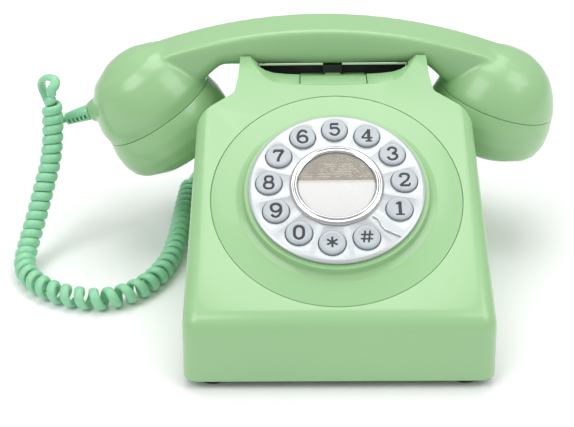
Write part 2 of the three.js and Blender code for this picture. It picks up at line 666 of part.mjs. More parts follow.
const strainRelief = () => alongRelief(turned([[0, gap], [3.9, gap], [3.9, 3], [3.2, gap + reliefLength],
  [0, gap + reliefLength]], 16));

addPiece(telephone, 'cord_strain_relief', geometryOf(strainRelief()), finishes.cordGreen);
addPiece(telephone, 'cord_tail_top', tube(topTailRoute, strandDiameter / 2, 8, 14), finishes.cordGreen);
addPiece(telephone, 'cord_coil', tube(coilRoute, coilDiameter / 2, 10, 44), finishes.cordGreen);
addPiece(telephone, 'cord_tail_base', tube(baseTailRoute, strandDiameter / 2, 8, 16), finishes.cordGreen);
addPiece(telephone, 'cord_plug', geometryOf(cordPlug()), finishes.cordGreen);

export default telephone;
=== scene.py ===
import json
import math
import bmesh
import bpy
from mathutils import Matrix, Vector


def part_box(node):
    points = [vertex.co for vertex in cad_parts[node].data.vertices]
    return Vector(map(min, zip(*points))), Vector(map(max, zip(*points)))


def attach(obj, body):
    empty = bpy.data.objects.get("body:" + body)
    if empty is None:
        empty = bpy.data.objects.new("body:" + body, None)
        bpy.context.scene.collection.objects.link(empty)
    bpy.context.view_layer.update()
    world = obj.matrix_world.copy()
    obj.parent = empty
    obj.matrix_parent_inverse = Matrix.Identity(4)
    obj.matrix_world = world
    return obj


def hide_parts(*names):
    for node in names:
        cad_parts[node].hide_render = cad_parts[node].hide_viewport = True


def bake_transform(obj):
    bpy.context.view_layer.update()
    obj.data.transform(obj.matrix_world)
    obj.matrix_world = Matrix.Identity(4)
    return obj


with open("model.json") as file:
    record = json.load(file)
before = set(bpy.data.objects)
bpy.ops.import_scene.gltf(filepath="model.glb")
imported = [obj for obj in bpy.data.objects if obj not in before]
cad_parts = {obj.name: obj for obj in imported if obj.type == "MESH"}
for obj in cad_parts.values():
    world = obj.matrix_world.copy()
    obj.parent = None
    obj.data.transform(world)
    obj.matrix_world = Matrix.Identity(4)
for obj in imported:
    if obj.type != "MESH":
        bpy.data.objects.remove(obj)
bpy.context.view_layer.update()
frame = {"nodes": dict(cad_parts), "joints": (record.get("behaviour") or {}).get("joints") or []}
mm = 0.001  # shapes are drawn in millimetres and finished in metres
fullTurn = 2 * math.pi


# ---------- camera, floor and light ----------

cameraView = {"azimuth": 1.17, "elevation": 29.39, "roll": -0.98, "distance": 0.5551,
              "target": (-0.01725, 0, 0.03544), "lens": 68.99}


def addCamera():
    azimuth, elevation = math.radians(cameraView["azimuth"]), math.radians(cameraView["elevation"])
    back = Vector((math.sin(azimuth) * math.cos(elevation), -math.cos(azimuth) * math.cos(elevation),
                   math.sin(elevation)))
    turn = back.to_track_quat("Z", "Y").to_matrix().to_4x4()
    turn = turn @ Matrix.Rotation(math.radians(cameraView["roll"]), 4, "Z")
    camera = bpy.data.objects.new("camera", bpy.data.cameras.new("camera"))
    camera.data.lens = cameraView["lens"]
    camera.data.sensor_width = 36
    camera.data.clip_start = 0.01
    place = Vector(cameraView["target"]) + back * cameraView["distance"]
    camera.matrix_world = Matrix.Translation(place) @ turn
    bpy.context.scene.collection.objects.link(camera)
    bpy.context.scene.camera = camera


lights = {  # place, width, power
    "softboxLeft": ((-0.75, -0.55, 1.15), 0.8, 7.2),
    "softboxRight": ((0.85, -0.35, 1.1), 0.8, 6.2),
    "softboxTop": ((0.0, 0.45, 1.35), 1.0, 9.0),
}


def addStage():
    bpy.ops.mesh.primitive_plane_add(size=8)
    floor = bpy.context.object
    floor.name = "floor"
    paper = bpy.data.materials.new("floorPaper")
    paper.use_nodes = True
    surface = paper.node_tree.nodes["Principled BSDF"]
    surface.inputs["Base Color"].default_value = (0.93, 0.93, 0.935, 1)
    surface.inputs["Roughness"].default_value = 0.75
    surface.inputs["Specular IOR Level"].default_value = 0.2
    floor.data.materials.append(paper)
    for name, (place, width, power) in lights.items():
        data = bpy.data.lights.new(name, "AREA")
        data.size = width
        data.energy = power
        lamp = bpy.data.objects.new(name, data)
        lamp.location = place
        lamp.rotation_euler = (Vector((0, 0, 0.05)) - Vector(place)).to_track_quat("-Z", "Y").to_euler()
        bpy.context.scene.collection.objects.link(lamp)
    world = bpy.data.worlds.new("studio")
    world.use_nodes = True
    world.node_tree.nodes["Background"].inputs["Color"].default_value = (1, 1, 1, 1)
    world.node_tree.nodes["Background"].inputs["Strength"].default_value = 0.5
    bpy.context.scene.world = world
    bpy.context.scene.view_settings.view_transform = "Standard"


addCamera()
addStage()
print("camera and stage ready")


# ---------- places taken from the frame ----------

def boxOf(node):
    low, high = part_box(node)
    return Vector(low) / mm, Vector(high) / mm


def middleOf(node):
    low, high = boxOf(node)
    return (low + high) / 2


caseLow, caseHigh = boxOf("upper_case")
caseMiddle = middleOf("dial_plate").x
caseFront = Matrix.Translation((caseMiddle, 0, 0))
keyPress = next(j for j in frame["joints"] if j["name"] == "button_5_press")
dialUp = -Vector(keyPress["axis"]).normalized()
slopeAngle = math.acos(dialUp.z)
dialPlace = Matrix.Translation(middleOf("dial_plate") - dialUp * 6.8) @ Matrix.Rotation(slopeAngle, 4, "X")


# ---------- mesh helpers ----------

def softened(corners, steps=5):
    # corners are (a, b) or (a, b, radius); each radius becomes an arc
    points = []
    for i, corner in enumerate(corners):
        here = Vector(corner[:2])
        if len(corner) < 3:
            points.append(here)
            continue
        before = (Vector(corners[i - 1][:2]) - here).normalized()
        after = (Vector(corners[(i + 1) % len(corners)][:2]) - here).normalized()
        half = before.angle(after) / 2
        reach = corner[2] / math.tan(half)
        centre = here + (before + after).normalized() * (corner[2] / math.sin(half))
        start, end = here + before * reach - centre, here + after * reach - centre
        swing = start.angle_signed(end)
        for k in range(steps + 1):
            points.append(centre + Matrix.Rotation(-swing * k / steps, 2) @ start)
    return points


def spun(profile, steps=64, closed=False):
    bm = bmesh.new()
    ring = [bm.verts.new((p[0], 0, p[1])) for p in profile]
    pairs = list(zip(ring, ring[1:])) + ([(ring[-1], ring[0])] if closed else [])
    edges = [bm.edges.new(pair) for pair in pairs]
    bmesh.ops.spin(bm, geom=ring + edges, cent=(0, 0, 0), axis=(0, 0, 1), angle=fullTurn,
                   steps=steps, use_merge=True, use_duplicate=False)
    bmesh.ops.remove_doubles(bm, verts=bm.verts, dist=0.001)
    bmesh.ops.recalc_face_normals(bm, faces=bm.faces)
    return bm


def extruded(outline, low, high, axes="xz"):
    # an outline in two axes, thick along the third from low to high
    order = {"xz": lambda a, b, t: (a, t, b),
             "yz": lambda a, b, t: (t, a, b),
             "xy": lambda a, b, t: (a, b, t)}
    bm = bmesh.new()
    face = bm.faces.new([bm.verts.new(order[axes](p[0], p[1], low)) for p in outline])
    grown = bmesh.ops.extrude_face_region(bm, geom=[face])["geom"]
    moved = [v for v in grown if isinstance(v, bmesh.types.BMVert)]
    along = Vector(order[axes](0, 0, high - low))
    bmesh.ops.translate(bm, verts=moved, vec=along)
    bmesh.ops.recalc_face_normals(bm, faces=bm.faces)
    return bm


def block(low, high, soft=0.0, segments=3):
    bm = bmesh.new()
    bmesh.ops.create_cube(bm, size=1)
    size = Vector(high) - Vector(low)
    bmesh.ops.scale(bm, vec=size, verts=bm.verts)
    bmesh.ops.translate(bm, vec=(Vector(low) + Vector(high)) / 2, verts=bm.verts)
    if soft:
        bmesh.ops.bevel(bm, geom=bm.edges[:], offset=soft, segments=segments, profile=0.5,
                        affect="EDGES", material=-1)
    return bm


def rod(radius, low, high, steps=48, soft=0.0):
    outline = [(0, low), (radius, low, soft) if soft else (radius, low),
               (radius, high, soft) if soft else (radius, high), (0, high)]
    return spun(softened(outline, 3), steps)


def tempObject(bm, place=None):
    if place is not None:
        bmesh.ops.transform(bm, matrix=place, verts=bm.verts)
    mesh = bpy.data.meshes.new("shape")
    bm.to_mesh(mesh)
    bm.free()
    shape = bpy.data.objects.new("shape", mesh)
    bpy.context.scene.collection.objects.link(shape)
    return shape


def settle(shape):
    # the modifiers' result becomes the mesh
    bpy.context.view_layer.update()
    graph = bpy.context.evaluated_depsgraph_get()
    mesh = bpy.data.meshes.new_from_object(shape.evaluated_get(graph))
    shape.modifiers.clear()
    old, shape.data = shape.data, mesh
    bpy.data.meshes.remove(old)


def carve(shape, tool, how="DIFFERENCE"):
    step = shape.modifiers.new("carve", "BOOLEAN")
    step.operation = how
    step.solver = "EXACT"
    step.object = tool
    settle(shape)
    bpy.data.objects.remove(tool)


def finishPiece(name, shape, material, body, replaced=(), smooth=35, edge=0.0):
    # millimetres become metres, edges are softened and the piece joins its body
    if edge:
        bevel = shape.modifiers.new("edge", "BEVEL")
        bevel.width = edge
        bevel.segments = 2
        bevel.limit_method = "ANGLE"
        bevel.angle_limit = math.radians(32)
        bevel.miter_outer = "MITER_ARC"
        settle(shape)
    shape.data.transform(Matrix.Scale(mm, 4))
    shape.name = name
    shape.data.name = name
    for face in shape.data.polygons:
        face.use_smooth = True
    shape.data.set_sharp_from_angle(angle=math.radians(smooth))
    shape.data.materials.clear()
    shape.data.materials.append(material)
    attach(shape, body)
    if replaced:
        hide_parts(*replaced)
    return shape


# ---------- shader maths ----------

class Wire:
    # a shader socket that takes part in sums
    def __init__(self, tree, socket):
        self.tree, self.socket = tree, socket

    def maths(self, operation, first, second=None):
        node = self.tree.nodes.new("ShaderNodeMath")
        node.operation = operation
        for slot, value in zip(node.inputs, (first, second)):
            if isinstance(value, Wire):
                self.tree.links.new(value.socket, slot)
            elif value is not None:
                slot.default_value = value
        return Wire(self.tree, node.outputs[0])

    def __add__(self, other): return self.maths("ADD", self, other)
    def __radd__(self, other): return self.maths("ADD", other, self)
    def __sub__(self, other): return self.maths("SUBTRACT", self, other)
    def __rsub__(self, other): return self.maths("SUBTRACT", other, self)
    def __mul__(self, other): return self.maths("MULTIPLY", self, other)
    def __rmul__(self, other): return self.maths("MULTIPLY", other, self)
    def __gt__(self, other): return self.maths("GREATER_THAN", self, other)
    def __lt__(self, other): return self.maths("LESS_THAN", self, other)


class Finish:
    # one procedural material
    def __init__(self, name, color, roughness, metallic=0.0, coat=0.0, coatRoughness=0.1, **more):
        self.material = bpy.data.materials.new(name)
        self.material.use_nodes = True
        self.tree = self.material.node_tree
        self.surface = self.tree.nodes["Principled BSDF"]
        settings = {"Base Color": (*color, 1), "Roughness": roughness, "Metallic": metallic,
                    "Coat Weight": coat, "Coat Roughness": coatRoughness, **more}
        for key, value in settings.items():
            self.surface.inputs[key].default_value = value
        self.color, self.roughness = color, roughness

    def node(self, kind, settings=None, out=0, **inputs):
        made = self.tree.nodes.new(kind)
        for key, value in (settings or {}).items():
            if key == "stops":
                for stop, (place, shade) in zip(made.color_ramp.elements, value):
                    stop.position, stop.color = place, shade
            else:
                setattr(made, key, value)
        for key, value in inputs.items():
            slot = made.inputs[int(key[1:])] if key[0] == "i" and key[1:].isdigit() else made.inputs[key]
            if isinstance(value, Wire):
                self.tree.links.new(value.socket, slot)
            else:
                slot.default_value = value
        return Wire(self.tree, made.outputs[out])

    def place(self):
        return self.node("ShaderNodeTexCoord", out=3)

    def noise(self, scale, detail=3.0, roughness=0.5, place=None):
        return self.node("ShaderNodeTexNoise", Vector=place or self.place(), Scale=scale, Detail=detail,
                         Roughness=roughness)

    def blend(self, factor, first, second):
        made = self.tree.nodes.new("ShaderNodeMix")
        made.data_type = "RGBA"
        for slot, value in ((made.inputs[0], factor), (made.inputs[6], first), (made.inputs[7], second)):
            if isinstance(value, Wire):
                self.tree.links.new(value.socket, slot)
            else:
                slot.default_value = (*value, 1) if isinstance(value, tuple) else value
        return Wire(self.tree, made.outputs[2])

    def feed(self, name, wire):
        self.tree.links.new(wire.socket, self.surface.inputs[name])

    def bump(self, height, strength, distance):
        self.feed("Normal", self.node("ShaderNodeBump", Height=height, Strength=strength, Distance=distance))


def mouldedPlastic(name, color, roughness, coat, grain=900.0, shift=0.05):
    # injection-moulded plastic: faint flow marks, fine grain and a soft gloss
    finish = Finish(name, color, roughness, coat=coat, coatRoughness=0.12)
    flow = finish.noise(14.0, 2.0)
    darker = tuple(c * (1 - shift) for c in color)
    lighter = tuple(min(1.0, c * (1 + shift)) for c in color)
    finish.feed("Base Color", finish.blend(flow, darker, lighter))
    fine = finish.noise(grain, 2.0)
    smear = finish.noise(38.0, 4.0)
    finish.feed("Roughness", (smear - 0.5) * 0.12 + (fine - 0.5) * 0.05 + roughness)
    finish.bump(fine + flow * 0.4, 0.06, 0.0002)
    return finish.material


def brushedMetal(name, color, roughness, stretch=(40.0, 900.0, 900.0), metallic=1.0):
    finish = Finish(name, color, roughness, metallic=metallic)
    mapped = finish.node("ShaderNodeMapping", Vector=finish.place(), Scale=stretch)
    streak = finish.noise(1.0, 3.0, place=mapped)
    finish.feed("Roughness", (streak - 0.5) * 0.16 + roughness)
    darker = tuple(c * 0.86 for c in color)
    finish.feed("Base Color", finish.blend(streak, darker, color))
    finish.bump(streak, 0.08, 0.0001)
    return finish.material


def wornRubber(name, color, roughness):
    finish = Finish(name, color, roughness)
    dust = finish.noise(120.0, 5.0, 0.65)
    finish.feed("Base Color", finish.blend(dust, color, tuple(c * 1.9 + 0.01 for c in color)))
    finish.bump(finish.noise(1400.0, 2.0), 0.25, 0.0002)
    return finish.material


casingGreen = (0.30, 0.53, 0.255)
materials = {
    "casing": mouldedPlastic("casingPlastic", casingGreen, 0.34, 0.35),
    "cord": mouldedPlastic("cordSheath", (0.27, 0.62, 0.38), 0.38, 0.15, grain=1600.0),
    "plate": brushedMetal("dialPlateSilver", (0.56, 0.595, 0.60), 0.32, metallic=0.35),
    "key": mouldedPlastic("keyGrey", (0.42, 0.465, 0.495), 0.32, 0.3, grain=1500.0, shift=0.03),
    "ink": mouldedPlastic("keyInk", (0.02, 0.022, 0.026), 0.5, 0.0, grain=2000.0),
    "chrome": brushedMetal("ringChrome", (0.78, 0.79, 0.80), 0.14, stretch=(300.0, 300.0, 300.0)),
    "steel": brushedMetal("zincSteel", (0.56, 0.57, 0.58), 0.34),
    "brass": brushedMetal("gongBrass", (0.72, 0.55, 0.27), 0.24),
    "rubber": wornRubber("footRubber", (0.018, 0.018, 0.018), 0.8),
    # dark moulding for the inner parts, and painted shade for the tray and pad under the grip
    "dark": mouldedPlastic("darkMouldingAndPaintedShade", (0.025, 0.026, 0.028), 0.45, 0.0),
    "board": mouldedPlastic("boardMask", (0.03, 0.16, 0.07), 0.4, 0.2),
    "copper": brushedMetal("coilCopper", (0.55, 0.25, 0.12), 0.3, stretch=(900.0, 60.0, 60.0)),
    "sheet": mouldedPlastic("baseSheetPaint", (0.03, 0.03, 0.032), 0.42, 0.1),
}
print("materials ready")


# ---------- case ----------

caseSizes = {"halfWidth": 69.5, "draft": 0.026, "bottom": 4.5, "wall": 2.6, "frontLean": 2.2,
             "frontHeight": 33.1, "softEdge": 7.0, "hornTipY": 39.5, "rearHornY": 70.0,
             "rearHornHeight": 101.0, "rearShoulder": (83.0, 76.0), "rearWallHeight": 36.0,
             "groove": 0.2, "slotGap": 0.45, "knobTravel": 3.0}
cradle = {"saddle": [(16, 95.4), (24, 95.8), (30, 96.5), (34, 97.8), (37.5, 100), (41, 103.2), (45, 107.5)],
          "saddleLow": 95.2, "channelHalf": 38.0, "channelFront": 37.0, "channelFloor": 85.0,
          "seatHeight": 97.2, "cheekTop": (47.0, 66.0), "cheekFoot": (62.0, 46.0), "neckRound": 4.0,
          "neck": [(72, 4.3), (49.2, 19.5), (47.6, 28.5), (46.8, 39.5), (46.8, 70), (52, 88), (52, 140)]}
farOut = 150.0  # beyond every face of the case
skyHigh = 160.0
hookBar = {"halfWidth": 16.5, "front": 25.0, "rear": 50.0, "foot": 88.0, "stem": (4.0, 40.5, 45.5)}
dial = {"surroundRadius": 58.4, "collarRadius": 42.4, "collarHeight": 5.5, "plateRadius": 40.6,
        "plateTop": 7.8, "plateThickness": 2.0, "keyRadius": 6.0, "keyHole": 6.45, "keyProud": 1.3,
        "ringOuter": 21.7, "ringInner": 17.9}
halfDepth = (caseHigh.y - caseLow.y) / 2


def caseEnvelope(inset):
    s = caseSizes
    low = s["bottom"] - (10 if inset else 0)
    drop = inset / math.cos(slopeAngle)
    rise = math.tan(slopeAngle)
    front = -halfDepth + inset
    edge = s["frontHeight"] - drop
    tipZ = edge + (s["hornTipY"] + halfDepth - s["frontLean"]) * rise
    outline = [(front, low), (front + s["frontLean"], edge), (s["hornTipY"], tipZ),
               (s["rearHornY"] - inset, s["rearHornHeight"] - drop),
               (s["rearShoulder"][0] - inset, s["rearShoulder"][1] - inset),
               (halfDepth - inset, s["rearWallHeight"]), (halfDepth - inset, low)]
    width = s["halfWidth"] - inset
    bm = extruded(outline, -width, width, "yz")
    for v in bm.verts:
        v.co.x *= 1 - s["draft"] * (v.co.z - s["bottom"]) / s["halfWidth"]
    if not inset:
        long = [e for e in bm.edges if not all(abs(v.co.z - low) < 0.01 for v in e.verts)]
        rounding = [e for e in long if e.calc_length() > 0.1 and (
            abs(e.verts[0].co.x - e.verts[1].co.x) < 20 or all(abs(v.co.z - edge) < 0.01 for v in e.verts))]
        bmesh.ops.bevel(bm, geom=rounding, offset=s["softEdge"], segments=6, profile=0.5, affect="EDGES",
                        clamp_overlap=True, material=-1)
    return tempObject(bm)


def cradleTools(grow):
    s = cradle
    half = [(x - grow, y) for x, y in s["neck"]] + [(farOut, s["neck"][-1][1]), (farOut, s["neck"][0][1])]
    half[1] += (s["neckRound"],)
    half[2] += (2 * s["neckRound"],)
    cheekRun = (s["cheekFoot"][0] - s["cheekTop"][0]) / (s["cheekTop"][1] - s["cheekFoot"][1])
    foot = (s["cheekFoot"][0] - grow, s["cheekFoot"][1] - grow)
    cheek = [foot, (farOut, foot[1]), (farOut, skyHigh), (foot[0] - cheekRun * (skyHigh - foot[1]), skyHigh)]
    tools = []
    for side in (1, -1):
        neck = tempObject(extruded([(side * p[0], p[1]) for p in softened(half)], 0, farOut, "xy"))
        slope = extruded([(side * p[0], p[1]) for p in cheek], -farOut, farOut, "xz")
        carve(neck, tempObject(slope), "INTERSECT")
        tools.append(neck)
    right = [(x + grow, z - grow) for x, z in s["saddle"]]
    left = [(-x, z) for x, z in reversed(right)]
    saddle = [(-60, skyHigh), *left, (0, s["saddleLow"] - grow), *right, (60, skyHigh)]
    tools.append(tempObject(extruded(saddle, -farOut, farOut, "xz")))
    floor = s["channelFloor"] - grow
    wide = s["channelHalf"] + grow
    channel = [(-wide, floor, 3), (wide, floor, 3), (wide, skyHigh), (-wide, skyHigh)]
    tools.append(tempObject(extruded(softened(channel), s["channelFront"] - grow, farOut, "xz")))
    tools.append(tempObject(block((-90, caseSizes["hornTipY"] + 1 - grow, s["seatHeight"] - grow),
                                  (90, caseSizes["rearHornY"] - 1 + grow, skyHigh))))
    return tools


def buildCase():
    outer, inner = caseEnvelope(0), caseEnvelope(caseSizes["wall"])
    for tool in cradleTools(0):
        carve(outer, tool)
    for tool in cradleTools(caseSizes["wall"]):
        carve(inner, tool)
    carve(outer, inner)
    toCase = caseFront.inverted() @ dialPlace
    carve(outer, tempObject(rod(dial["surroundRadius"] + caseSizes["groove"], -1.2, 20, steps=128), toCase))
    carve(outer, tempObject(rod(46.45, -16, 6, steps=96), toCase))
    slot = caseSizes["slotGap"]
    wide = hookBar["halfWidth"] + slot
    barSlot = block((-wide, hookBar["front"] - slot, 87.5), (wide, cradle["channelFront"], skyHigh))
    carve(outer, tempObject(barSlot))
    half, front, rear = hookBar["stem"]
    stemSlot = block((-half - slot, front - slot, 78), (half + slot, rear + slot, skyHigh))
    carve(outer, tempObject(stemSlot))
    openings = [("handset_socket", 0.3, 0.3, 0.8), ("line_socket", 0.3, 0.3, 0.8),
                ("ringer_switch_knob", slot + caseSizes["knobTravel"], slot, 0.5)]
    for node, aside, above, soft in openings:
        low, high = boxOf(node)
        carve(outer, tempObject(block((low.x - caseMiddle - aside, halfDepth - 6, low.z - above),
                                      (high.x - caseMiddle + aside, halfDepth + 1, high.z + above), soft)))
    outer.data.transform(caseFront)
    return finishPiece("case", outer, materials["casing"], "case", ["upper_case"], edge=0.7)


case = buildCase()
print("case ready", len(case.data.polygons))


# ---------- dial ----------

keyNames = ["1", "2", "3", "4", "5", "6", "7", "8", "9", "0", "star", "hash"]


def keyCentre(name):
    # in the dial's own axes
    return dialPlace.inverted() @ middleOf("button_" + name)


def buildSurround():
    d = dial
    profile = [(d["surroundRadius"], -0.9), (d["surroundRadius"], 0.25, 0.5),
               (d["collarRadius"] + 4.2, 1.1, 3.0), (d["collarRadius"] + 0.9, 2.0, 1.2),
               (d["collarRadius"] + 0.3, d["collarHeight"], 0.7), (39.1, d["collarHeight"]), (39.1, -6),
               (46, -6), (46, -0.9)]
    shape = tempObject(spun(softened(profile), 128, closed=True), dialPlace)
    return finishPiece("dialSurround", shape, materials["casing"], "case", ["dial_surround"])


def buildPlate():
    d = dial
    low = d["plateTop"] - d["plateThickness"]
    profile = [(0, low), (d["plateRadius"] - 0.6, low), (d["plateRadius"], low + 0.5, 0.3),
               (d["plateRadius"], d["plateTop"] - 0.5, 0.5), (d["plateRadius"] - 1.2, d["plateTop"], 0.4),
               (0, d["plateTop"])]
    shape = tempObject(spun(softened(profile), 128))
    for name in keyNames:
        centre = keyCentre(name)
        hole = rod(d["keyHole"], -10, 10, steps=48)
        carve(shape, tempObject(hole, Matrix.Translation((centre.x, centre.y, d["plateTop"]))))
    shape.data.transform(dialPlace)
    return finishPiece("dialPlate", shape, materials["plate"], "case", ["dial_plate"], edge=0.25)


def buildRing():
    d = dial
    top = d["plateTop"]
    profile = [(d["ringInner"], top + 0.3), (d["ringInner"], top + 1.5, 0.3),
               (d["ringInner"] + 0.9, top + 2.1, 0.5), (d["ringInner"] + 1.7, top + 1.3, 0.4),
               (d["ringOuter"] - 1.1, top + 1.7, 0.5),
               (d["ringOuter"], top + 0.9, 0.4), (d["ringOuter"], top + 0.3)]
    shape = tempObject(spun(softened(profile), 96, closed=True), dialPlace)
    return finishPiece("centreRing", shape, materials["chrome"], "case", ["centre_ring"])


def buildKey(name):
    d = dial
    top = d["plateTop"] + d["keyProud"]
    profile = [(0, 4.6), (6.9, 4.6), (6.9, 5.5), (d["keyRadius"], 5.5), (d["keyRadius"], top - 0.1, 0.7),
               (d["keyRadius"] - 1.4, top + 0.05, 0.6), (0, top - 0.3)]
    centre = keyCentre(name)
    place = dialPlace @ Matrix.Translation((centre.x, centre.y, 0))
    shape = tempObject(spun(softened(profile), 48), place)
    return finishPiece("key_" + name, shape, materials["key"], f"button_{name}_key", [f"button_{name}"])


buildSurround()
buildPlate()
buildRing()
for name in keyNames:
    buildKey(name)


def cardPaper():
    # printed card: a tan field above a cream one, with faint ruled marks and a pale joint
    finish = Finish("cardPaper", (0.8, 0.76, 0.68), 0.55, coat=0.2)
    axes = finish.node("ShaderNodeSeparateXYZ", Vector=finish.place())
    along = Wire(finish.tree, axes.socket.node.outputs[1])
    height = Wire(finish.tree, axes.socket.node.outputs[2])
    centre = middleOf("number_card") * mm
    up = (along - centre.y) * math.cos(slopeAngle) + (height - centre.z) * math.sin(slopeAngle)
    mottle = finish.noise(260.0, 3.0)
    tan = finish.blend(mottle, (0.14, 0.11, 0.06), (0.20, 0.16, 0.10))
    cream = finish.blend(mottle, (0.62, 0.62, 0.61), (0.69, 0.69, 0.68))
    rows = finish.node("ShaderNodeTexWave", {"bands_direction": "Y"}, 1, Vector=finish.place(), Scale=260.0,
                       Distortion=1.5)
    ruled = (rows > 0.72) * (mottle > 0.5) * (up > 0.0035) * (up < 0.0125) * 0.55
    tan = finish.blend(ruled, tan, (0.55, 0.47, 0.36))
    pale = (up > 0.0004) * (up < 0.0026)
    tan = finish.blend(pale * 0.75, tan, (0.70, 0.66, 0.58))
    finish.feed("Base Color", finish.blend(up > 0.0012, cream, tan))
    finish.bump(finish.noise(900.0), 0.05, 0.0001)
    return finish.material


def clearPlastic(name, color, alpha):
    finish = Finish(name, color, 0.06, coat=0.6, Alpha=alpha)
    scuffs = finish.noise(90.0, 5.0, 0.6)
    finish.feed("Roughness", scuffs * 0.1 + 0.03)
    finish.feed("Alpha", (scuffs - 0.5) * 0.05 + alpha)
    finish.bump(scuffs, 0.02, 0.0002)
    return finish.material


materials["card"] = cardPaper()
materials["lens"] = clearPlastic("clearLens", (0.95, 0.96, 0.96), 0.08)
materials["clearPlug"] = clearPlastic("clearPlug", (0.70, 0.80, 0.76), 0.6)


def buildCentre():
    radius = dial["ringInner"] - 0.3
    card = tempObject(spun(softened([(0, 8.1), (radius, 8.1), (radius, 8.5, 0.1), (0, 8.5)]), 96), dialPlace)
    finishPiece("numberCard", card, materials["card"], "case", ["number_card"])
    lens = [(0, 8.8), (radius, 8.8), (radius, 9.35), (radius - 1.0, 9.6, 0.8), (0, 9.9)]
    glass = tempObject(spun(softened(lens), 96), dialPlace)
    finishPiece("lensDisc", glass, materials["lens"], "case", ["lens"])


def routeCurve(points, steps):
    # centripetal Catmull-Rom through the points
    rows = [Vector(p) for p in points]
    rows = [rows[0] * 2 - rows[1], *rows, rows[-1] * 2 - rows[-2]]
    line = []
    for a, b, c, d in zip(rows, rows[1:], rows[2:], rows[3:]):
        t = [0.0]
        for first, second in ((a, b), (b, c), (c, d)):
            t.append(t[-1] + (second - first).length ** 0.5)
        for k in range(steps):
            u = t[1] + (t[2] - t[1]) * k / steps
            p = [first.lerp(second, (u - t[i]) / (t[i + 1] - t[i])) for i, (first, second) in
                 enumerate(((a, b), (b, c), (c, d)))]
            q = [p[i].lerp(p[i + 1], (u - t[i]) / (t[i + 2] - t[i])) for i in range(2)]
            line.append(q[0].lerp(q[1], (u - t[1]) / (t[2] - t[1])))
    line.append(rows[-2].copy())
    return line


def sweep(line, wide, thick, sides=12, facing=None):
    # an oval section carried along the line; facing gives the thickness direction at each point
    bm = bmesh.new()
    rings = []
    side = Vector((0.3, 0.9, 0.2))
    for i, point in enumerate(line):
        ahead = (line[min(i + 1, len(line) - 1)] - line[max(i - 1, 0)]).normalized()
        side = facing[i] if facing else side
        side = (side - ahead * side.dot(ahead)).normalized()
        other = ahead.cross(side)
        ring = []
        for k in range(sides):
            angle = fullTurn * k / sides
            place = point + side * (thick / 2 * math.cos(angle)) + other * (wide / 2 * math.sin(angle))
            ring.append(bm.verts.new(place))
        rings.append(ring)
    for first, second in zip(rings, rings[1:]):
        for k in range(sides):
            bm.faces.new((first[k], first[(k + 1) % sides], second[(k + 1) % sides], second[k]))
    bm.faces.new(rings[0])
    bm.faces.new(rings[-1])
    bmesh.ops.recalc_face_normals(bm, faces=bm.faces)
    return bm


def buildFingerStop():
    # a thin S-shaped wire on the plate
    points = [(15.9, -16.6), (18.4, -18.6), (19.6, -21.4), (21.4, -24), (24.6, -25.8), (28.2, -27.6)]
    line = routeCurve([(x, y, 8.45) for x, y in points], 8)
    wire = tempObject(sweep(line, 0.7, 0.8, 10, [Vector((0, 0, 1))] * len(line)), dialPlace)
    finishPiece("fingerStopWire", wire, materials["chrome"], "case", ["finger_stop"], smooth=60)


